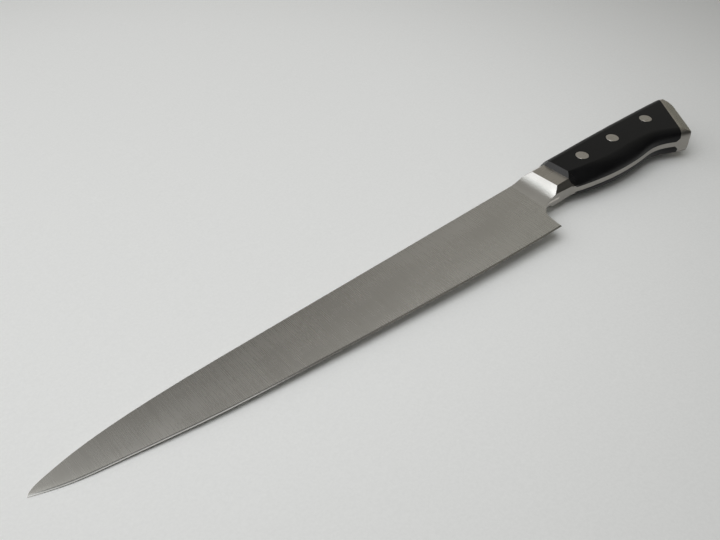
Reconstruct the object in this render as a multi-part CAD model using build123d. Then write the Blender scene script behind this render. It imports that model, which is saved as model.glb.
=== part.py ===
from build123d import *
import os
from math import atan2, cos, degrees, radians, sin, sqrt

# A western-style slicing knife with a full tang, lying on its right side.
# While it is built, X runs from the tip towards the butt, Y from the edge towards the spine
# and Z across the thickness, with zero at the heel corner of the edge. lay_down() then puts
# the knife on the table as it rests there, on the scale's front corner and the blade's tip.
# All lengths are in millimetres.

# Blade: the outline
blade_length = 270.0          # heel to tip
blade_depth = 38.7            # spine above the heel
tip_height = 28.3             # point above the heel
# Blade: the steel
stock_thickness = 3.0         # tang, and spine at the heel
tip_stock_thickness = 1.2     # the same steel drawn thinner at the tip
shoulder_thickness = 0.36     # where the flat grind meets the edge bevel
edge_thickness = 0.1          # flat left on the cutting edge
bevel_height = 0.9            # edge bevel, measured up the blade
# Choil: the hollow between heel and bolster
choil_neck_height = 7.0       # the straight stretch above the heel
choil_neck_lean = 0.8         # how far that stretch leans back
choil_depth = 16.6            # belly of the bolster above the heel
choil_length = 11.5           # heel to where the belly starts

# Bolster
ridge_place = 18.6            # heel to the ridge at the top of the hollow front
bolster_flat_length = 9.8     # ridge to the scales
bolster_thickness = 12.5
bolster_hollow_radius = 24.0  # the polished hollow that runs down to the blade
bolster_feather = 0.03        # how far the hollow dips into the blade, for a clean end
bolster_spine_chamfer = 2.8
bolster_belly_chamfer = 2.5
bolster_weld = 2.7            # weld in the corner between bolster and tang, under the scale

# Handle: scales, tang edge and cap are shaped as one
handle_length = 108.9         # scales' front to the butt's furthest point
handle_front_thickness = 17.8
handle_butt_thickness = 15.3
side_grind = 0.05             # ground off each side last, to leave it truly flat
spine_round = 6.2             # rounding of the handle along the spine
belly_crown = 4.8             # width of the flat stretch along the belly
scale_front_bevel = 1.7       # length of the scale's bevelled front end
scale_corner_bevel = 3.0      # the same at its spine corner, where the bolster is chamfered

# Butt cap
butt_rake = 53.0              # degrees between the butt's end and the handle's length
cap_length = 6.6              # square to the butt's end
cap_flat_length = 1.9         # the part of it as thick as the scales
cap_end_thickness = 12.4
cap_weld = 2.0                # weld in the corner between cap and tang, under the scale
butt_spine_radius = 8.0
butt_belly_radius = 1.5

# Rivets: each is a post pressed into a sleeve
rivet_head_diameter = 7.3
rivet_seat_depth = 2.4        # head's seat below the scale's surface, at the butt end
sleeve_diameter = 5.0
post_diameter = 3.0
sleeve_floor = 1.2            # solid end of the sleeve's bore, above its head
sleeve_gap = 0.4              # between the sleeve's open end and the post's head
rivet_height = 26.1           # rivets above the heel
front_rivet_setback = 20.2    # behind the scales' front
rear_rivet_setback = 28.5     # ahead of the butt's furthest point
rivet_fit = 0.05              # gap all round each fit

overrun = 5.0                 # how far cutting tools reach past the piece

# The middle rivet's place between the front and rear ones
middle_rivet_share = 0.4585
# The edge's rise from heel to tip, as shares of the blade length and of the tip's height
edge_length_shares = [0.0, 0.2, 0.4, 0.6, 0.75, 0.88, 0.955, 1.0]
edge_rise_shares = [0.0, 0.08, 0.217, 0.373, 0.527, 0.72, 0.855, 1.0]
# The spine's drop to the tip, as shares of the blade length and of the drop
spine_straight_share = 0.6
spine_length_shares = [0.82, 0.917, 0.967]
spine_drop_shares = [0.09, 0.335, 0.6]
spine_end_slope_share = 1.6   # how steeply the spine meets the point
# The choil's curve, as shares of its length and depth
choil_length_shares = [0.21, 0.54]
choil_depth_shares = [0.717, 0.892]
# The handle's stations, as shares of the handle length, and there the heights of its belly
# and of the foot of its flat side, as shares of the blade's depth
station_shares = [0.0, 0.07, 0.165, 0.255, 0.37, 0.5, 0.625, 0.705, 0.775, 0.87, 1.06]
belly_height_shares = [0.408, 0.348, 0.293, 0.254, 0.229, 0.233, 0.243, 0.179, 0.082, 0.026, 0.01]
flat_foot_shares = [0.568, 0.540, 0.512, 0.488, 0.474, 0.482, 0.460, 0.400, 0.284, 0.168, 0.143]
# How full the belly's corners are there: near zero is a flat chamfer and 0.55 an oval
belly_fullness_shares = [0.06, 0.25, 0.45, 0.55, 0.56, 0.6, 0.7, 0.76, 0.78, 0.78, 0.78]
# The spine's stations and its heights there
spine_station_shares = [0.0, 0.37, 0.56, 0.74, 0.9, 1.06]
spine_height_shares = [1.0, 1.0, 0.995, 0.983, 0.97, 0.95]

# Places worked out from the sizes above
scale_front = ridge_place + bolster_flat_length
butt_end = scale_front + handle_length
tip_drop = blade_depth - tip_height
half_stock = stock_thickness / 2
front_rivet = scale_front + front_rivet_setback
rear_rivet = butt_end - rear_rivet_setback
middle_rivet = front_rivet + (rear_rivet - front_rivet) * middle_rivet_share
rivet_places = {"front": front_rivet, "middle": middle_rivet, "rear": rear_rivet}
half_front = handle_front_thickness / 2
half_butt = handle_butt_thickness / 2
handle_taper = (half_front - half_butt) / handle_length
half_bolster = bolster_thickness / 2
half_cap_end = cap_end_thickness / 2
sleeve_radius = sleeve_diameter / 2
post_radius = post_diameter / 2
head_radius = rivet_head_diameter / 2
head_seat = half_butt - rivet_seat_depth

# The butt's end, seen from the side: its direction, the way it faces and its spine corner
butt_line = Vector(cos(radians(butt_rake)), sin(radians(butt_rake)))
butt_facing = Vector(butt_line.Y, -butt_line.X)
butt_top = blade_depth * spine_height_shares[-1]
butt_foot = blade_depth * belly_height_shares[-1]
butt_corner_reach = butt_spine_radius * ((1 + butt_line.X) / butt_line.Y - 1)
butt_corner = Vector(butt_end + butt_corner_reach, butt_top)
butt_middle = butt_corner - butt_line * ((butt_top - butt_foot) / butt_line.Y / 2)


def side_plane(x):
    """A plane across the knife at x, whose own axes are Y and Z."""
    return Plane(origin=(x, 0, 0), x_dir=(0, 1, 0), z_dir=(1, 0, 0))


def butt_plane(ahead):
    """A plane parallel to the butt's end and this far ahead of it, facing backwards."""
    return Plane(origin=butt_corner - butt_facing * ahead, z_dir=butt_facing)


def slab(outline, thickness):
    """A side view given its thickness, half to each side."""
    return extrude(outline, amount=thickness / 2, both=True)


def room(front, back, low, high):
    """A block between two places along the knife and two levels across its thickness."""
    size = Box(back - front, blade_depth + 2 * overrun, high - low, align=Align.MIN)
    return Pos(front, -overrun, low) * size


def half_handle(x):
    """Half the handle's thickness at x: it tapers towards the butt."""
    return half_front - (x - scale_front) * handle_taper


def steel_outline():
    """Side view of the blade and of the tang up to the scales, open below the edge."""
    spine_points = [(-blade_length * spine_straight_share, blade_depth)]
    for along, drop in zip(spine_length_shares, spine_drop_shares):
        spine_points.append((-blade_length * along, blade_depth - tip_drop * drop))
    spine_points.append((-blade_length, tip_height))
    choil_points = [(0, 0), (choil_neck_lean, choil_neck_height)]
    for along, rise in zip(choil_length_shares, choil_depth_shares):
        choil_points.append((choil_length * along, choil_depth * rise))
    choil_points.append((choil_length, choil_depth))
    belly_end = (scale_front, blade_depth * belly_height_shares[0])
    belly_fall = (scale_front - choil_length, belly_end[1] - choil_depth)
    with BuildSketch() as outline:
        with BuildLine():
            spine = Spline(*spine_points, tangents=((-1, 0), (-1, -spine_end_slope_share)))
            past_tip = spine @ 1 + (spine % 1) * overrun
            choil = Spline(*choil_points, tangents=((choil_neck_lean, choil_neck_height), belly_fall))
            Polyline(choil @ 1, belly_end, (scale_front, blade_depth), spine @ 0)
            Polyline(spine @ 1, past_tip, (past_tip.X, -overrun), (0, -overrun), choil @ 0)
        make_face()
    return outline.sketch


def blade_section(x, edge_height, spine_thickness):
    """The ground blade across: edge, bevels, flat grind and spine."""
    half_edge = edge_thickness / 2
    half_shoulder = shoulder_thickness / 2
    half_spine = spine_thickness / 2
    shoulder = edge_height + bevel_height
    with BuildSketch(side_plane(x)) as section:
        Polygon((edge_height, -half_edge), (shoulder, -half_shoulder), (blade_depth, -half_spine),
                (blade_depth, half_spine), (shoulder, half_shoulder), (edge_height, half_edge),
                align=None)
    return section.sketch


def ground_blade():
    """The blade's grind, from under the bolster to just past the tip."""
    sections = [blade_section(ridge_place, 0, stock_thickness)]
    for along, rise in zip(edge_length_shares, edge_rise_shares):
        thickness = stock_thickness + (tip_stock_thickness - stock_thickness) * along
        sections.append(blade_section(-blade_length * along, tip_height * rise, thickness))
    last_slope = (1 - edge_rise_shares[-2]) / (1 - edge_length_shares[-2])
    past_height = tip_height * (1 + last_slope * overrun / blade_length)
    sections.append(blade_section(-blade_length - overrun, past_height, tip_stock_thickness))
    return loft(sections, ruled=False)


def belly_section(x, belly_height, foot_height, fullness):
    """The handle's belly across: flat sides and a fuller or flatter rounding between them."""
    half = half_handle(x) + side_grind
    top = blade_depth + overrun
    half_crown = belly_crown / 2
    turn_height = foot_height - (foot_height - belly_height) * fullness
    turn_level = half_crown + (half - half_crown) * fullness
    corner = [(foot_height, half), (turn_height, half),
              (belly_height, turn_level), (belly_height, half_crown)]
    with BuildSketch(side_plane(x)) as section:
        with BuildLine():
            Line((belly_height, -half_crown), (belly_height, half_crown))
            Bezier(*corner)
            Polyline((foot_height, half), (top, half), (top, -half), (foot_height, -half))
            Bezier(*[(height, -level) for height, level in corner])
        make_face()
    return section.sketch


def spine_section(x, spine_height):
    """The handle's spine across: a flat top with two rounded corners, open below."""
    half = half_handle(x) + side_grind
    spine_line = half - spine_round
    top = spine_height - spine_round
    with BuildSketch(side_plane(x)) as section:
        with BuildLine():
            Polyline((top, -half), (-overrun, -half), (-overrun, half), (top, half))
            CenterArc((top, spine_line), spine_round, 0, 90)
            Line((spine_height, spine_line), (spine_height, -spine_line))
            CenterArc((top, -spine_line), spine_round, 270, 90)
        make_face()
    return section.sketch


def butt_outline():
    """Side view of the handle's rear, with its raked end and its two rounded corners."""
    belly_corner = butt_corner - butt_line * ((butt_top - butt_foot) / butt_line.Y)
    with BuildSketch() as outline:
        Polygon((scale_front, butt_foot), (belly_corner.X, butt_foot), (butt_corner.X, butt_top),
                (scale_front, butt_top), align=None)
        fillet(outline.vertices().sort_by(Axis.X)[-1], butt_spine_radius)
        fillet(outline.vertices().group_by(Axis.Y)[0].sort_by(Axis.X)[-1], butt_belly_radius)
    return outline.sketch


def handle_form():
    """The whole handle behind the bolster as one contoured bar with its butt shaped."""
    belly_sections = []
    heights = zip(belly_height_shares, flat_foot_shares)
    for along, shares, fullness in zip(station_shares, heights, belly_fullness_shares):
        belly, foot = (blade_depth * share for share in shares)
        belly_sections.append(belly_section(scale_front + handle_length * along, belly, foot, fullness))
    spine_sections = []
    for along, share in zip(spine_station_shares, spine_height_shares):
        spine_sections.append(spine_section(scale_front + handle_length * along, blade_depth * share))
    bar = loft(belly_sections, ruled=False) & loft(spine_sections, ruled=True)
    for side in (1, -1):
        flat_side = Plane(origin=(scale_front, 0, half_front * side), z_dir=(handle_taper, 0, side))
        bar = split(bar, bisect_by=flat_side, keep=Keep.BOTTOM)
    cap_start = butt_plane(cap_length + overrun)
    front = split(bar, bisect_by=cap_start, keep=Keep.BOTTOM)
    rear = split(bar, bisect_by=cap_start, keep=Keep.TOP)
    return front + (rear & slab(butt_outline(), handle_front_thickness))


def rivet_bore(place, radius, low, high):
    """A round hole across the handle at a rivet, between two levels."""
    base = (Align.CENTER, Align.CENTER, Align.MIN)
    return Pos(place, rivet_height, low) * Cylinder(radius, high - low, align=base)


def make_blade(handle):
    """Blade and full tang, one piece of steel, with the rivets' holes."""
    outline = steel_outline()
    blade = ground_blade() & slab(outline, stock_thickness + overrun)
    root = slab(outline, stock_thickness) & room(ridge_place, scale_front, -half_stock, half_stock)
    tang = handle & room(scale_front, butt_end + overrun, -half_stock, half_stock)
    steel = blade + root + tang
    for place in rivet_places.values():
        steel -= rivet_bore(place, sleeve_radius + rivet_fit, -stock_thickness, stock_thickness)
    return steel


def weld_form(corner, facing, leg):
    """A weld's three-sided run up a corner on the tang, from a wall that faces this way."""
    across = Plane(origin=(corner.X, corner.Y, half_stock), x_dir=facing, z_dir=facing.cross(Vector(0, 0, 1)))
    with BuildSketch(across) as section:
        Polygon((0, 0), (leg, 0), (0, leg), align=None)
    return extrude(section.sketch, amount=blade_depth + overrun, both=True)


def bolster_weld_form():
    """The weld between the bolster's back and the tang."""
    return weld_form(Vector(scale_front, 0), Vector(1, 0), bolster_weld)


def cap_weld_form():
    """The weld between the cap's front and the tang."""
    return weld_form(butt_middle - butt_facing * cap_length, -butt_facing, cap_weld)


def make_bolster(steel, handle):
    """The left half of the bolster: chamfered block with a hollow front, welded to the steel."""
    slope = (stock_thickness - shoulder_thickness) / 2 / (blade_depth - bevel_height)
    centres = []
    for height in (choil_depth, blade_depth):
        face = shoulder_thickness / 2 + (height - bevel_height) * slope
        centre_level = face + bolster_hollow_radius - bolster_feather
        run = sqrt(bolster_hollow_radius**2 - (centre_level - half_bolster) ** 2)
        centres.append(Vector(ridge_place - run, height, centre_level))
    along = (centres[1] - centres[0]).normalized()
    hollow = Plane(origin=centres[0], z_dir=along) * Cylinder(bolster_hollow_radius, blade_depth * 2)
    block = extrude(steel_outline(), amount=half_bolster)
    block = block & room(centres[0].X, scale_front, 0, half_bolster)
    spine_side = Plane(origin=(0, blade_depth - bolster_spine_chamfer, half_bolster), z_dir=(0, 1, 1))
    belly_side = Plane(origin=(0, choil_depth + bolster_belly_chamfer, half_bolster), z_dir=(0, -1, 1))
    for plane in (spine_side, belly_side):
        block = split(block, bisect_by=plane, keep=Keep.BOTTOM)
    weld = bolster_weld_form() & handle
    return block - hollow - steel + weld


def make_scale(handle):
    """The left scale: contoured slab, bevelled at the front and bored for the rivets."""
    side = handle & room(scale_front, butt_end, half_stock, half_front)
    scale = split(side, bisect_by=butt_plane(cap_length), keep=Keep.BOTTOM)
    bevel_facing = (half_bolster - half_front, 0, scale_front_bevel)
    bevel = Plane(origin=(scale_front, 0, half_bolster), z_dir=bevel_facing)
    scale = split(scale, bisect_by=bevel, keep=Keep.BOTTOM)
    chamfer_sum = blade_depth - bolster_spine_chamfer + half_bolster
    rounding_sum = blade_depth + half_front - spine_round * (2 - sqrt(2))
    corner_facing = (chamfer_sum - rounding_sum, scale_corner_bevel, scale_corner_bevel)
    corner_start = (scale_front, blade_depth - bolster_spine_chamfer, half_bolster)
    corner_bevel = Plane(origin=corner_start, z_dir=corner_facing)
    scale = split(scale, bisect_by=corner_bevel, keep=Keep.BOTTOM)
    scale = scale - bolster_weld_form() - cap_weld_form()
    for place in rivet_places.values():
        scale -= rivet_bore(place, sleeve_radius + rivet_fit, 0, half_front)
        scale -= rivet_bore(place, head_radius + rivet_fit, head_seat, half_front)
    return scale


def make_cap(handle):
    """The left half of the butt cap, thinner towards its end."""
    side = handle & room(scale_front, butt_end, half_stock, half_front)
    cap = split(side, bisect_by=butt_plane(cap_length), keep=Keep.TOP)
    start = butt_middle - butt_facing * (cap_length - cap_flat_length)
    start_level = half_handle(start.X)
    down = butt_facing * (cap_length - cap_flat_length) + Vector(0, 0, half_cap_end - start_level)
    level_line = butt_line - Vector(0, 0, butt_line.X * handle_taper)
    slope = Plane(origin=(start.X, start.Y, start_level), z_dir=down.cross(level_line))
    cap = split(cap, bisect_by=slope, keep=Keep.BOTTOM)
    return cap + (cap_weld_form() & handle)


def make_rivet_post(place, handle):
    """A rivet's left half: a head ground flush with the scale and a solid post."""
    head = rivet_bore(place, head_radius, head_seat, half_front) & handle
    return head + rivet_bore(place, post_radius, sleeve_floor - head_seat, head_seat)


def make_rivet_sleeve(place, handle):
    """A rivet's right half: a flush head and a sleeve that takes the post."""
    head = rivet_bore(place, head_radius, -half_front, -head_seat) & handle
    sleeve = rivet_bore(place, sleeve_radius, -head_seat, head_seat - sleeve_gap)
    bore = rivet_bore(place, post_radius + rivet_fit, sleeve_floor - head_seat, head_seat)
    return head + sleeve - bore


def build_knife():
    """Every piece in its place while the knife is upright in its own axes."""
    handle = handle_form()
    steel = make_blade(handle)
    pieces = {"blade_and_tang": steel}
    halves = {"bolster": make_bolster(steel, handle), "scale": make_scale(handle)}
    halves["butt_cap"] = make_cap(handle)
    for name, left in halves.items():
        pieces[name + "_left"] = left
        pieces[name + "_right"] = mirror(left, about=Plane.XY)
    for name, place in rivet_places.items():
        pieces["rivet_post_" + name] = make_rivet_post(place, handle)
        pieces["rivet_sleeve_" + name] = make_rivet_sleeve(place, handle)
    return pieces


def lay_down(pieces):
    """Tips the knife onto the scale's front corner and the tip, centred over the table."""
    corner_to_tip = scale_front + scale_front_bevel + blade_length
    rest_angle = degrees(atan2(half_front - shoulder_thickness / 2, corner_to_tip))
    tipped = {name: piece.rotate(Axis.Y, -rest_angle) for name, piece in pieces.items()}
    boxes = [piece.bounding_box() for piece in tipped.values()]
    ends = [min(box.min.X for box in boxes), max(box.max.X for box in boxes)]
    edges = [min(box.min.Y for box in boxes), max(box.max.Y for box in boxes)]
    move = Pos(-sum(ends) / 2, -sum(edges) / 2, -min(box.min.Z for box in boxes))
    print("rest angle", round(rest_angle, 4), "moved by", move.position)
    return {name: move * piece for name, piece in tipped.items()}


os.makedirs("parts", exist_ok=True)
for node, solid in lay_down(build_knife()).items():
    export_step(solid, "parts/" + node + ".step")
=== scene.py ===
import bmesh
import bpy
import math
from mathutils import Matrix, Vector


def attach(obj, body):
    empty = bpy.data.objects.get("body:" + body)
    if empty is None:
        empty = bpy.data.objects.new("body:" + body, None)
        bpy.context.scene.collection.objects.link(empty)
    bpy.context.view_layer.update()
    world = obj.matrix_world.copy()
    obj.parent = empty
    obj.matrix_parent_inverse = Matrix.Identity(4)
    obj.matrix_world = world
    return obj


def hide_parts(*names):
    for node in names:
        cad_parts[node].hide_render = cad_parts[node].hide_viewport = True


# A western-style slicing knife lying on a pale table, seen from its tip's side.
# Lengths are in metres. The knife's own axes, used for its places below, run from the tip
# towards the butt, from the edge towards the spine and out of the left side, with zero at the
# heel corner of the edge, and they are written in millimetres.
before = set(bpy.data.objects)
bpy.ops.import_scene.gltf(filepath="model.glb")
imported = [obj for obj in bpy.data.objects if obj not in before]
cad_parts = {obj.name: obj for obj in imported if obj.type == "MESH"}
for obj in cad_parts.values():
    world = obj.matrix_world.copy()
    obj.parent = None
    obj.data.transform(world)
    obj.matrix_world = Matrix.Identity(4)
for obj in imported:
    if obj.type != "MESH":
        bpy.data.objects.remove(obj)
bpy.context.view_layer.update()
mm = 0.001

# The knife as it lies: its tip and the front corner of its right scale touch the table
heel_place = Vector((66.226, -19.35, 8.037)) * mm
rest_angle = math.radians(1.6644)
knife_axes = Matrix.Rotation(-rest_angle, 3, "Y")

# Places along the knife, in its own axes
heel_end = 18.6               # the bolster's ridge, where its hollow front ends
hollow_foot = 4.0             # where the hollow runs out on the blade
hollow_radius = 24.0          # the wheel that it is ground on
hollow_match = 0.975          # how closely a facet has to follow the wheel's round
scale_front_end = 31.4        # just behind the bevelled front ends of the scales
underside_facing = -0.5       # faces that look down this much are the knife's underside

# Rivets, in the sizes that the scales and the tang are bored for
rivet_stations = (48.6, 76.28, 108.8)
rivet_height = 26.1
rivet_sizes = {"Head Radius": 3.65, "Head Rim": 0.1, "Seat Level": 5.25, "Head Level": 8.3,
               "Post Radius": 1.5, "Post Reach": 9.3, "Sleeve Radius": 2.5, "Sleeve Reach": 10.1,
               "Bore Radius": 1.55, "Bore Depth": 8.85, "Scale Level": 9.226}
handle_taper = 0.01148        # how fast each scale gets thinner towards the butt
rivet_sides = 64
rim_turn = math.radians(30)

# Copies of the solids: what is merged in them
merge_distance = 0.002        # millimetres
flat_turn = math.radians(0.05)
most_face_corners = 4         # faces with more are cut into triangles
plane_digits = 3              # faces whose planes agree to this many digits are one flat

# Small roundings that the buffing leaves
fitting_edge = 0.16           # bolster and butt cap
scale_edge = 0.45             # the front ends of the handle scales
scale_edge_level = 6.8        # only their outer edge is rounded, not the seam on the bolster
seam_turn = math.radians(78)  # an edge that turns more than this is a seam and stays sharp
crease_turn = math.radians(25)
smooth_turn = math.radians(30)
rounding_steps = 2

# The camera, found by laying the knife's outline over the photograph
picture_width = 720
focal_pixels = 790
view_azimuth = math.radians(-40.78)
view_elevation = math.radians(41.727)
view_roll = math.radians(-0.292)
view_target = (-98.81, 42.291, 0)
view_distance = 376.335
sensor_width = 36.0
nearest_seen = 0.01           # metres

# Light: a broad skylight overhead, and a room that is bright on the left, dark on the right
# and a little dark at the back
skylight_place = Vector((-0.39, 0.065, 1.0))
skylight_size = (1.23, 0.79)
skylight_power = 4.9
skylight_colour = "#fbfdff"
room_bright_direction = (-0.82, 0.22, 0.52)
room_bright_stops = [(0.71, "#9e9c98"), (0.77, "#c0c0be"), (0.81, "#eef0f0"), (0.845, "#ffffff")]
room_back_direction = (0.20, 0.80, 0.57)
room_back_stops = [(0.90, "#ffffff"), (0.945, "#f2f2f1"), (0.985, "#918f8d")]
room_dark_direction = (0.45, -0.87, 0.20)
room_dark_stops = [(0.50, "#ffffff"), (0.555, "#f1f2ee"), (0.62, "#cdd1c8"), (0.70, "#b3b4af"),
                   (0.80, "#898986"), (0.925, "#616160")]
table_half_width = 4.0
# A pool of light painted on the table: the card's white fades to grey between these distances from
# the centre
painted_light_pool_centre = (-0.06, 0.18, 0)
painted_light_pool_reach = (0.16, 0.70)

# Where most of the values of one noise pattern lie, and of two added together
noise_range = (0.3, 0.7)
two_noises_range = (0.7, 1.3)
fine_noise_roughness = 0.6


def knife_place(x, y, z):
    """A place on the knife, given in its own axes, as it lies on the table."""
    return heel_place + knife_axes @ Vector((x, y, z)) * mm


def colour(code):
    """An sRGB hex colour as linear red, green, blue and alpha."""
    parts = [int(code[i:i + 2], 16) / 255 for i in (1, 3, 5)]
    return [p / 12.92 if p <= 0.04045 else ((p + 0.055) / 1.055) ** 2.4 for p in parts] + [1.0]


def add(tree, kind, inputs=None, **settings):
    """Adds a node, sets it up, and fills its inputs with values or with other nodes' outputs."""
    node = tree.nodes.new(kind)
    for name, value in settings.items():
        setattr(node, name, value)
    for name, value in (inputs or {}).items():
        if isinstance(value, bpy.types.NodeSocket):
            tree.links.new(value, node.inputs[name])
        else:
            node.inputs[name].default_value = value
    return node


def new_material(name):
    """An empty material with its shader and output, ready for its pattern."""
    material = bpy.data.materials.new(name)
    material.use_nodes = True
    tree = material.node_tree
    tree.nodes.clear()
    shader = add(tree, "ShaderNodeBsdfPrincipled")
    add(tree, "ShaderNodeOutputMaterial", {"Surface": shader.outputs["BSDF"]})
    return material, tree, shader


def knife_coordinates(tree, grain):
    """Object coordinates turned to the knife's own axes, divided by a grain's size in mm."""
    place = add(tree, "ShaderNodeTexCoord").outputs["Object"]
    turned = add(tree, "ShaderNodeMapping", {"Vector": place, "Rotation": (0, rest_angle, 0)})
    sized = add(tree, "ShaderNodeMapping", {"Vector": turned.outputs["Vector"],
                                            "Scale": [1 / (size * mm) for size in grain]})
    return sized.outputs["Vector"]


def ground_steel(name, tones, grain, cloud, roughness, depth, spread=0.0):
    """Stainless steel whose finish has one grain, with soft clouds where the belt bit less.

    Grain and cloud are sizes in millimetres along, across and out of the knife, and depth is
    how deep the grain is cut. Real belt lines are finer than 0.1 mm, and each finish draws
    them at 0.25 to 0.35 mm, as coarse as they need to be to show. With a spread, lines that
    run across the blade widen its reflections along it.
    """
    material, tree, shader = new_material(name)
    lines = add(tree, "ShaderNodeTexNoise", {"Vector": knife_coordinates(tree, grain),
                                             "Scale": 1.0, "Detail": 3.0,
                                             "Roughness": fine_noise_roughness})
    clouds = add(tree, "ShaderNodeTexNoise", {"Vector": knife_coordinates(tree, cloud),
                                              "Scale": 1.0, "Detail": 2.0})
    both = add(tree, "ShaderNodeMath", {0: lines.outputs["Fac"], 1: clouds.outputs["Fac"]},
               operation="ADD")
    tone = add(tree, "ShaderNodeMapRange", {"Value": both.outputs[0],
                                            "From Min": two_noises_range[0],
                                            "From Max": two_noises_range[1]})
    mixed = add(tree, "ShaderNodeMix", {"Factor": tone.outputs[0], 6: colour(tones[0]),
                                        7: colour(tones[1])}, data_type="RGBA")
    sheen = add(tree, "ShaderNodeMapRange", {"Value": both.outputs[0],
                                             "From Min": two_noises_range[0],
                                             "From Max": two_noises_range[1],
                                             "To Min": roughness[0], "To Max": roughness[1]})
    bump = add(tree, "ShaderNodeBump", {"Height": lines.outputs["Fac"], "Strength": 0.5,
                                        "Distance": depth * mm})
    tree.links.new(mixed.outputs[2], shader.inputs["Base Color"])
    tree.links.new(sheen.outputs[0], shader.inputs["Roughness"])
    tree.links.new(bump.outputs["Normal"], shader.inputs["Normal"])
    shader.inputs["Metallic"].default_value = 1.0
    if spread:
        along = add(tree, "ShaderNodeCombineXYZ", {"X": 1.0})
        tree.links.new(along.outputs["Vector"], shader.inputs["Tangent"])
        shader.inputs["Anisotropic"].default_value = spread
    return material


def satin_blade_steel():
    """Martensitic stainless steel, flat ground and satined with belts that run across the blade.

    The lines give it a soft, even grey with no mirror image. Real lines are about 0.05 mm
    apart, and they are drawn at 0.3 mm because finer ones would not show.
    """
    return ground_steel("satin_ground_stainless_blade", ("#c3c1bb", "#cbc9c4"), (0.3, 14.0, 14.0),
                        (60.0, 18.0, 18.0), (0.25, 0.29), 0.001, spread=0.75)


def lengthwise_steel():
    """The same steel on the tang's edge, the bolster's flats and the cap, belted lengthwise."""
    return ground_steel("lengthwise_satin_stainless", ("#c6c1b9", "#d3cec7"), (9.0, 0.3, 0.3),
                        (20.0, 7.0, 7.0), (0.24, 0.33), 0.002)


def underside_painted_shade_steel():
    """The same steel facing down from the edge's side, drawn with a coarser belt and rougher; its
    darker tone is painted shade.
    """
    # The darker tones stand in for the shade that faces looking down get: painted shade
    return ground_steel("coarse_belted_stainless_underside_painted_shade", ("#9b9893", "#a8a49e"),
                        (9.0, 0.35, 0.35), (20.0, 7.0, 7.0), (0.34, 0.44), 0.003)


def buffed_hollow_steel():
    """The same steel buffed in the bolster's hollow front: a smooth, bright sweep of light."""
    return ground_steel("buffed_stainless_hollow", ("#dddcd8", "#e6e5e2"), (5.0, 0.35, 0.35),
                        (14.0, 9.0, 9.0), (0.12, 0.17), 0.0006)


def honed_edge_painted_shade_steel():
    """The honed edge bevel: its stone leaves finer lines, so it mirrors the room more sharply. Its
    darker tone is painted shade along the edge.
    """
    # The darker tones paint the dark line along the cutting edge: painted shade
    return ground_steel("honed_stainless_edge_painted_shade", ("#8f8e8b", "#9b9a97"), (0.25, 3.0, 3.0),
                        (30.0, 8.0, 8.0), (0.14, 0.2), 0.001)


def rivet_steel():
    """Stainless rivet heads, ground flush: a flat, soft sheen with lines along the handle."""
    return ground_steel("flush_ground_stainless_rivet", ("#cbc6bf", "#d6d1cb"), (3.0, 0.25, 0.25),
                        (6.0, 4.0, 4.0), (0.26, 0.36), 0.002)


def black_scale_resin(name, sheen_range, gloss):
    """Black acetal resin, moulded, then shaped and buffed with the steel.

    Light leaves it only by its surface, so it is nearly black with a dim sheen. Faint belt
    lines and polishing haze run along it, drawn at 0.4 mm, coarser than the real ones.
    """
    material, tree, shader = new_material(name)
    lines = add(tree, "ShaderNodeTexNoise", {"Vector": knife_coordinates(tree, (12.0, 0.4, 0.4)),
                                             "Scale": 1.0, "Detail": 3.0,
                                             "Roughness": fine_noise_roughness})
    haze = add(tree, "ShaderNodeTexNoise", {"Vector": knife_coordinates(tree, (22.0, 8.0, 8.0)),
                                            "Scale": 1.0, "Detail": 3.0})
    tone = add(tree, "ShaderNodeMapRange", {"Value": haze.outputs["Fac"],
                                            "From Min": noise_range[0],
                                            "From Max": noise_range[1]})
    mixed = add(tree, "ShaderNodeMix", {"Factor": tone.outputs[0], 6: colour("#0e0e0f"),
                                        7: colour("#151516")}, data_type="RGBA")
    sheen = add(tree, "ShaderNodeMapRange", {"Value": haze.outputs["Fac"],
                                             "From Min": noise_range[0],
                                             "From Max": noise_range[1],
                                             "To Min": sheen_range[0],
                                             "To Max": sheen_range[1]})
    bump = add(tree, "ShaderNodeBump", {"Height": lines.outputs["Fac"], "Strength": 0.4,
                                        "Distance": 0.004 * mm})
    tree.links.new(mixed.outputs[2], shader.inputs["Base Color"])
    tree.links.new(sheen.outputs[0], shader.inputs["Roughness"])
    tree.links.new(bump.outputs["Normal"], shader.inputs["Normal"])
    shader.inputs["IOR"].default_value = 1.48
    shader.inputs["Specular IOR Level"].default_value = gloss
    return material


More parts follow.
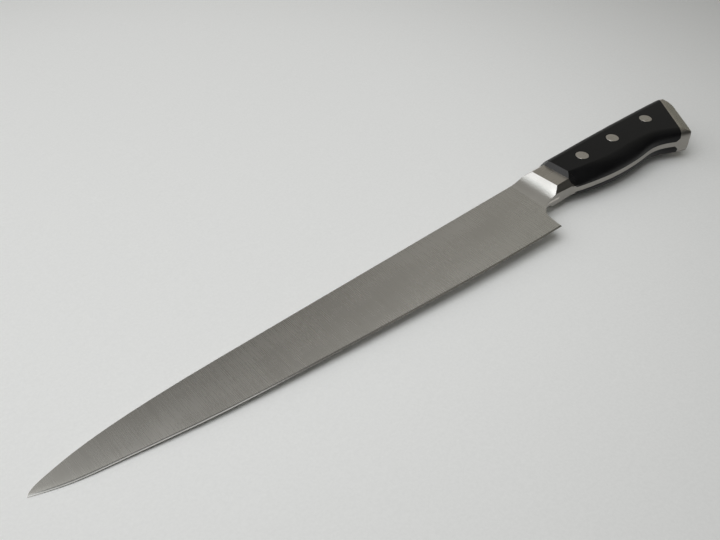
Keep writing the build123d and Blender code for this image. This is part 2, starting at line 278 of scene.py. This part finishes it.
def white_table_card():
    """A sheet of uncoated white card: matt, with a faint fibre mottle about 1 mm across.

    Its white is painted greyer away from the knife: a painted pool of light, fading where the
    light falls off.
    """
    material, tree, shader = new_material("uncoated_white_card")
    mottle = add(tree, "ShaderNodeTexNoise", {"Vector": knife_coordinates(tree, (1.2, 1.2, 1.2)),
                                              "Scale": 1.0, "Detail": 4.0,
                                              "Roughness": fine_noise_roughness})
    tone = add(tree, "ShaderNodeMapRange", {"Value": mottle.outputs["Fac"],
                                            "From Min": noise_range[0],
                                            "From Max": noise_range[1]})
    mixed = add(tree, "ShaderNodeMix", {"Factor": tone.outputs[0], 6: colour("#f2f2f1"),
                                        7: colour("#f7f7f6")}, data_type="RGBA")
    place = add(tree, "ShaderNodeTexCoord").outputs["Object"]
    # Painted light: the card is painted darker with distance from the pool's centre, where the
    # light falls off
    away = add(tree, "ShaderNodeVectorMath", {0: place, 1: painted_light_pool_centre}, operation="DISTANCE")
    fall = add(tree, "ShaderNodeMapRange", {"Value": away.outputs["Value"],
                                            "From Min": painted_light_pool_reach[0],
                                            "From Max": painted_light_pool_reach[1]},
               interpolation_type="SMOOTHSTEP")
    painted_light_pool = add(tree, "ShaderNodeMix", {"Factor": fall.outputs[0], 6: colour("#ffffff"),
                                       7: colour("#b8b8b7")}, data_type="RGBA")
    card = add(tree, "ShaderNodeMix", {"Factor": 1.0, 6: mixed.outputs[2], 7: painted_light_pool.outputs[2]},
               data_type="RGBA", blend_type="MULTIPLY")
    bump = add(tree, "ShaderNodeBump", {"Height": mottle.outputs["Fac"], "Strength": 0.2,
                                        "Distance": 0.03 * mm})
    tree.links.new(card.outputs[2], shader.inputs["Base Color"])
    tree.links.new(bump.outputs["Normal"], shader.inputs["Normal"])
    shader.inputs["Roughness"].default_value = 0.85
    return material


def in_knife_axes(place):
    """A place on the table turned back to the knife's own axes, in millimetres."""
    return knife_axes.inverted() @ (place - heel_place) / mm


def edge_turn(edge):
    """How far the surface turns over an edge."""
    if len(edge.link_faces) != 2:
        return math.pi
    return edge.calc_face_angle(math.pi)


def wheel_direction(facing, place):
    """Which way the bolster's hollow front faces at a place along the knife."""
    lean = (min(max(place.x, hollow_foot), heel_end) - hollow_foot) / hollow_radius
    return Vector((-lean, 0, math.copysign(math.sqrt(1 - lean * lean), facing.z)))


def settle_shading(mesh, ground_on_wheel=False):
    """Sets the shading direction of each face's corners.

    The faces round a corner that turn only a little are averaged. Faces in one plane count with
    the whole of its area, so a broad flat stays flat right up to the rounding beside it. On a
    piece that is ground on a wheel, the facets of its hollow follow the wheel's true round.
    """
    planes = []
    for face in mesh.polygons:
        centimetres_out = face.normal.dot(face.center) / mm / 10
        planes.append(tuple(round(v, plane_digits) for v in (*face.normal, centimetres_out)))
    areas = {}
    around = {}
    for face, plane in zip(mesh.polygons, planes):
        areas[plane] = areas.get(plane, 0) + face.area
        for corner in face.vertices:
            around.setdefault(corner, {})[plane] = face.normal.copy()
    limit = math.cos(smooth_turn)
    shading = []
    for face in mesh.polygons:
        facing = knife_axes.inverted() @ face.normal
        round_facing = wheel_direction(facing, in_knife_axes(face.center))
        on_wheel = ground_on_wheel and facing.dot(round_facing) > hollow_match
        for corner in face.vertices:
            total = Vector()
            for plane, normal in around[corner].items():
                if normal.dot(face.normal) > limit:
                    total += normal * areas[plane]
            if on_wheel:
                place = in_knife_axes(mesh.vertices[corner].co)
                total = knife_axes @ wheel_direction(facing, place)
            shading.append(total.normalized())
    mesh.shade_smooth()
    mesh.normals_split_custom_set(shading)


def smooth_copy(node, name, rounding=0, rear_limit=math.inf, inner_limit=0, ground_on_wheel=False):
    """A closed copy of a node: triangles merged, creases rounded and shading smoothed.

    Creases further back along the knife than one limit, or nearer to its middle than the
    other, keep their edge.
    """
    form = bmesh.new()
    form.from_mesh(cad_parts[node].data)
    bmesh.ops.remove_doubles(form, verts=form.verts, dist=merge_distance * mm)
    bmesh.ops.dissolve_limit(form, angle_limit=flat_turn, verts=form.verts, edges=form.edges,
                             delimit={"NORMAL"})
    creases = [e for e in form.edges if crease_turn < edge_turn(e) < seam_turn
               and max(in_knife_axes(v.co).x for v in e.verts) < rear_limit
               and min(abs(in_knife_axes(v.co).z) for v in e.verts) > inner_limit]
    if rounding:
        bmesh.ops.bevel(form, geom=creases, offset=rounding * mm, segments=rounding_steps,
                        profile=0.5, affect="EDGES", clamp_overlap=True)
    broad = [face for face in form.faces if len(face.verts) > most_face_corners]
    bmesh.ops.triangulate(form, faces=broad)
    mesh = bpy.data.meshes.new(name)
    form.to_mesh(mesh)
    form.free()
    settle_shading(mesh, ground_on_wheel)
    piece = bpy.data.objects.new(name, mesh)
    bpy.context.scene.collection.objects.link(piece)
    return piece


def stand_for(piece, slot, *nodes):
    """Puts a finished piece in the place of the nodes that it shows."""
    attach(piece, "root")
    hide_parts(*nodes)


def paint(piece, materials, choose):
    """Gives each face the material whose number the rule chooses by its facing and its place."""
    for material in materials:
        piece.data.materials.append(material)
    for polygon in piece.data.polygons:
        facing = knife_axes.inverted() @ polygon.normal
        polygon.material_index = choose(facing, in_knife_axes(polygon.center))


def make_blade():
    """Blade and tang: satin faces, honed edge bevels, and edges belted along the knife."""
    side_facing = 0.9955
    bevel_facing = 0.9
    satin, honed, belted, shaded = range(4)
    piece = smooth_copy("blade_and_tang", "ground_blade_and_tang")

    def choose(facing, place):
        if place.x > heel_end:
            # Faces that look down get the darker underside steel: painted shade
            return shaded if facing.y < underside_facing else belted
        if abs(facing.z) > side_facing:
            return satin
        # The honed bevels take the darker edge steel, whose tone is painted shade
        return honed if abs(facing.z) > bevel_facing and facing.y < 0 else belted

    paint(piece, [satin_blade, honed_edge_painted_shade, belted_steel, painted_shade_underside], choose)
    stand_for(piece, "blade_steel", "blade_and_tang")


def make_bolster(side):
    """One cheek of the bolster, buffed in its hollow front."""
    front_facing = -0.05
    belted, buffed, shaded = range(3)
    piece = smooth_copy("bolster_" + side, "bolster_cheek_" + side, fitting_edge,
                        ground_on_wheel=True)

    def choose(facing, place):
        # Faces that look down get the darker underside steel: painted shade
        if facing.y < underside_facing:
            return shaded
        return buffed if facing.x < front_facing and abs(facing.z) > abs(facing.y) else belted

    paint(piece, [belted_steel, buffed_steel, painted_shade_underside], choose)
    stand_for(piece, "fittings", "bolster_" + side)


def make_cap(side):
    """One cheek of the butt cap, rougher and painted darker on its underside as painted shade."""
    belted, shaded = range(2)
    piece = smooth_copy("butt_cap_" + side, "butt_cap_cheek_" + side, fitting_edge)
    # Faces that look down get the darker underside steel: painted shade
    paint(piece, [belted_steel, painted_shade_underside],
          lambda facing, place: shaded if facing.y < underside_facing else belted)
    stand_for(piece, "fittings", "butt_cap_" + side)


def make_scale(side):
    """One handle scale. Only its front end is rounded, so the rivets' bores stay crisp."""
    bevel_facing = -0.15
    buffed, polished = range(2)
    piece = smooth_copy("scale_" + side, "handle_scale_" + side, scale_edge, scale_front_end,
                        scale_edge_level)

    def choose(facing, place):
        return polished if facing.x < bevel_facing and place.x < scale_front_end else buffed

    paint(piece, [black_resin, polished_resin], choose)
    stand_for(piece, "scales", "scale_" + side)


def two_part_rivets():
    """A tree that sets a two-part rivet through the handle at each point of a line.

    The line lies in the tang's middle, along the knife's own axes. The posts come from the left
    and the sleeves from the right, and each head is trimmed to the slope of its scale.
    """
    tree = bpy.data.node_groups.new("two_part_rivets", "GeometryNodeTree")
    tree.interface.new_socket("Line", in_out="INPUT", socket_type="NodeSocketGeometry")
    ids = {}
    for name, size in rivet_sizes.items():
        made = tree.interface.new_socket(name, in_out="INPUT", socket_type="NodeSocketFloat")
        made.default_value = size * mm
        ids[name] = made.identifier
    made = tree.interface.new_socket("Handle Taper", in_out="INPUT", socket_type="NodeSocketFloat")
    made.default_value = handle_taper
    ids["Handle Taper"] = made.identifier
    made = tree.interface.new_socket("Finish", in_out="INPUT", socket_type="NodeSocketMaterial")
    ids["Finish"] = made.identifier
    tree.interface.new_socket("Rivets", in_out="OUTPUT", socket_type="NodeSocketGeometry")
    given = add(tree, "NodeGroupInput").outputs

    # The head, up to its broken rim, standing on its seat
    under_rim = add(tree, "ShaderNodeMath", {0: given["Head Level"], 1: given["Head Rim"]},
                    operation="SUBTRACT")
    wall = add(tree, "ShaderNodeMath", {0: under_rim.outputs[0], 1: given["Seat Level"]},
               operation="SUBTRACT")
    middle = add(tree, "ShaderNodeMath", {0: wall.outputs[0], 1: 0.5, 2: given["Seat Level"]},
                 operation="MULTIPLY_ADD")
    face_radius = add(tree, "ShaderNodeMath", {0: given["Head Radius"], 1: given["Head Rim"]},
                      operation="SUBTRACT")
    head = add(tree, "GeometryNodeMeshCylinder", {"Vertices": rivet_sides,
                                                  "Radius": given["Head Radius"],
                                                  "Depth": wall.outputs[0]}, fill_type="NGON")
    lift = add(tree, "ShaderNodeCombineXYZ", {"Z": middle.outputs[0]})
    seated = add(tree, "GeometryNodeTransform", {"Geometry": head.outputs["Mesh"],
                                                 "Translation": lift.outputs[0]})

    # Each run narrows an end to a radius and draws it out, and a run of less than zero bores it
    start = (head.outputs["Top"], given["Head Radius"])
    under = (head.outputs["Bottom"], given["Head Radius"])
    bore = add(tree, "ShaderNodeMath", {0: given["Bore Depth"], 1: -1.0}, operation="MULTIPLY")
    post_runs = [(start, face_radius.outputs[0], given["Head Rim"], False),
                 (under, given["Post Radius"], given["Post Reach"], True)]
    sleeve_runs = [(start, face_radius.outputs[0], given["Head Rim"], False),
                   (under, given["Sleeve Radius"], given["Sleeve Reach"], True),
                   ((None, given["Sleeve Radius"]), given["Bore Radius"], bore.outputs[0], True)]
    trimmed = []
    for runs in (post_runs, sleeve_runs):
        shape = seated.outputs["Geometry"]
        end = None
        for (given_end, old_radius), radius, length, stepped in runs:
            end = given_end or end
            share = add(tree, "ShaderNodeMath", {0: radius, 1: old_radius}, operation="DIVIDE")
            if stepped:
                inset = add(tree, "GeometryNodeExtrudeMesh", {"Mesh": shape, "Selection": end,
                                                              "Offset Scale": 0.0,
                                                              "Individual": False}, mode="FACES")
                narrowed = add(tree, "GeometryNodeScaleElements",
                               {"Geometry": inset.outputs["Mesh"],
                                "Selection": inset.outputs["Top"], "Scale": share.outputs[0]},
                               domain="FACE")
                shape = narrowed.outputs["Geometry"]
                end = inset.outputs["Top"]
            drawn = add(tree, "GeometryNodeExtrudeMesh", {"Mesh": shape, "Selection": end,
                                                          "Offset Scale": length,
                                                          "Individual": False}, mode="FACES")
            shape = drawn.outputs["Mesh"]
            end = drawn.outputs["Top"]
            if not stepped:
                narrowed = add(tree, "GeometryNodeScaleElements",
                               {"Geometry": shape, "Selection": end, "Scale": share.outputs[0]},
                               domain="FACE")
                shape = narrowed.outputs["Geometry"]

        # One at each point, with its head moved to the level of the scale there
        placed = add(tree, "GeometryNodeInstanceOnPoints", {"Points": given["Line"],
                                                            "Instance": shape})
        solid = add(tree, "GeometryNodeRealizeInstances", {"Geometry": placed.outputs[0]})
        position = add(tree, "GeometryNodeInputPosition").outputs[0]
        place = add(tree, "ShaderNodeSeparateXYZ", {0: position})
        above = add(tree, "ShaderNodeMath", {0: place.outputs["Z"], 1: middle.outputs[0]},
                    operation="GREATER_THAN")
        fall = add(tree, "ShaderNodeMath", {0: place.outputs["X"], 1: given["Handle Taper"]},
                   operation="MULTIPLY")
        level = add(tree, "ShaderNodeMath", {0: given["Scale Level"], 1: fall.outputs[0]},
                    operation="SUBTRACT")
        change = add(tree, "ShaderNodeMath", {0: level.outputs[0], 1: given["Head Level"]},
                     operation="SUBTRACT")
        offset = add(tree, "ShaderNodeCombineXYZ", {"Z": change.outputs[0]})
        flush = add(tree, "GeometryNodeSetPosition", {"Geometry": solid.outputs[0],
                                                      "Selection": above.outputs[0],
                                                      "Offset": offset.outputs[0]})
        trimmed.append(flush.outputs[0])

    # The sleeves turned over to the right side
    sleeves = add(tree, "GeometryNodeGeometryToInstance", {"Geometry": trimmed[1]})
    turned = add(tree, "GeometryNodeRotateInstances", {"Instances": sleeves.outputs[0],
                                                       "Rotation": (math.pi, 0, 0)})
    joined = add(tree, "GeometryNodeJoinGeometry", {"Geometry": trimmed[0]})
    tree.links.new(turned.outputs[0], joined.inputs[0])
    solid = add(tree, "GeometryNodeRealizeInstances", {"Geometry": joined.outputs[0]})
    finished = add(tree, "GeometryNodeSetMaterial", {"Geometry": solid.outputs[0],
                                                     "Material": given["Finish"]})
    add(tree, "NodeGroupOutput", {"Rivets": finished.outputs[0]})
    return tree, ids


def make_rivets():
    """The three rivets, set along their line in the handle."""
    tree, ids = two_part_rivets()
    line = bpy.data.meshes.new("rivet_line")
    line.from_pydata([(x * mm, 0, 0) for x in rivet_stations], [], [])
    guide = bpy.data.objects.new("rivet_line", line)
    bpy.context.scene.collection.objects.link(guide)
    setting = guide.modifiers.new("Rivets", "NODES")
    setting.node_group = tree
    for name, size in rivet_sizes.items():
        setting[ids[name]] = size * mm
    setting[ids["Handle Taper"]] = handle_taper
    setting[ids["Finish"]] = ground_rivet
    ready = guide.evaluated_get(bpy.context.evaluated_depsgraph_get())
    mesh = bpy.data.meshes.new_from_object(ready)
    bpy.data.objects.remove(guide)
    mesh.name = "handle_rivets"
    mesh.transform(Matrix.Translation(knife_place(0, rivet_height, 0)) @ knife_axes.to_4x4())
    mesh.shade_smooth()
    mesh.set_sharp_from_angle(angle=rim_turn)
    piece = bpy.data.objects.new("handle_rivets", mesh)
    bpy.context.scene.collection.objects.link(piece)
    stand_for(piece, "rivets", *[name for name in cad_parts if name.startswith("rivet_")])


def lay_table():
    """The pale table top that the knife lies on."""
    half = table_half_width
    corners = [(-half, -half, 0), (half, -half, 0), (half, half, 0), (-half, half, 0)]
    mesh = bpy.data.meshes.new("table_top")
    mesh.from_pydata(corners, [], [(0, 1, 2, 3)])
    mesh.materials.append(white_table_card())
    table = bpy.data.objects.new("table_top", mesh)
    bpy.context.scene.collection.objects.link(table)


def hang_skylight():
    """One broad lamp that faces straight down, like a skylight."""
    light = bpy.data.lights.new("skylight", "AREA")
    light.shape = "RECTANGLE"
    light.size, light.size_y = skylight_size
    light.energy = skylight_power
    light.color = colour(skylight_colour)[:3]
    lamp = bpy.data.objects.new("skylight", light)
    lamp.location = skylight_place
    bpy.context.scene.collection.objects.link(lamp)


def light_room():
    """The room around, which the steel mirrors: each wall shades it towards one direction."""
    walls = [(room_bright_direction, room_bright_stops), (room_dark_direction, room_dark_stops),
             (room_back_direction, room_back_stops)]
    room = None
    world = bpy.data.worlds.new("room")
    world.use_nodes = True
    tree = world.node_tree
    tree.nodes.clear()
    outward = add(tree, "ShaderNodeTexCoord").outputs["Generated"]
    for direction, stops in walls:
        towards = add(tree, "ShaderNodeVectorMath", {0: outward, 1: direction},
                      operation="DOT_PRODUCT")
        share = add(tree, "ShaderNodeMath", {0: towards.outputs["Value"], 1: 0.5, 2: 0.5},
                    operation="MULTIPLY_ADD")
        shade = add(tree, "ShaderNodeValToRGB", {"Fac": share.outputs[0]})
        shade.color_ramp.interpolation = "EASE"
        for place, _ in stops[len(shade.color_ramp.elements):]:
            shade.color_ramp.elements.new(place)
        for element, (place, code) in zip(shade.color_ramp.elements, stops):
            element.position = place
            element.color = colour(code)
        both = add(tree, "ShaderNodeMix", {"Factor": 1.0, 6: room or (1, 1, 1, 1),
                                           7: shade.outputs["Color"]}, data_type="RGBA",
                   blend_type="MULTIPLY")
        room = both.outputs[2]
    background = add(tree, "ShaderNodeBackground", {"Color": room, "Strength": 1.0})
    add(tree, "ShaderNodeOutputWorld", {"Surface": background.outputs[0]})
    bpy.context.scene.world = world


def place_camera():
    """The camera at the photograph's viewing angle."""
    toward = Vector((math.sin(view_azimuth) * math.cos(view_elevation),
                     -math.cos(view_azimuth) * math.cos(view_elevation), math.sin(view_elevation)))
    level = Vector((math.cos(view_azimuth), math.sin(view_azimuth), 0))
    up = toward.cross(level)
    right = level * math.cos(view_roll) + up * math.sin(view_roll)
    above = up * math.cos(view_roll) - level * math.sin(view_roll)
    eye = Vector(view_target) + toward * view_distance
    camera = bpy.data.cameras.new("camera")
    camera.sensor_width = sensor_width
    camera.lens = focal_pixels / picture_width * sensor_width
    camera.clip_start = nearest_seen
    holder = bpy.data.objects.new("camera", camera)
    turned = Matrix([knife_axes @ v for v in (right, above, toward)]).transposed().to_4x4()
    holder.matrix_world = Matrix.Translation(knife_place(*eye)) @ turned
    bpy.context.scene.collection.objects.link(holder)
    bpy.context.scene.camera = holder


satin_blade = satin_blade_steel()
belted_steel = lengthwise_steel()
painted_shade_underside = underside_painted_shade_steel()
buffed_steel = buffed_hollow_steel()
honed_edge_painted_shade = honed_edge_painted_shade_steel()
ground_rivet = rivet_steel()
black_resin = black_scale_resin("buffed_black_acetal_scales", (0.34, 0.46), 0.2)
polished_resin = black_scale_resin("polished_black_acetal_bevel", (0.22, 0.30), 0.7)

make_blade()
for side in ("left", "right"):
    make_bolster(side)
    make_cap(side)
    make_scale(side)
make_rivets()
lay_table()
hang_skylight()
light_room()
place_camera()
bpy.context.scene.view_settings.view_transform = "Standard"
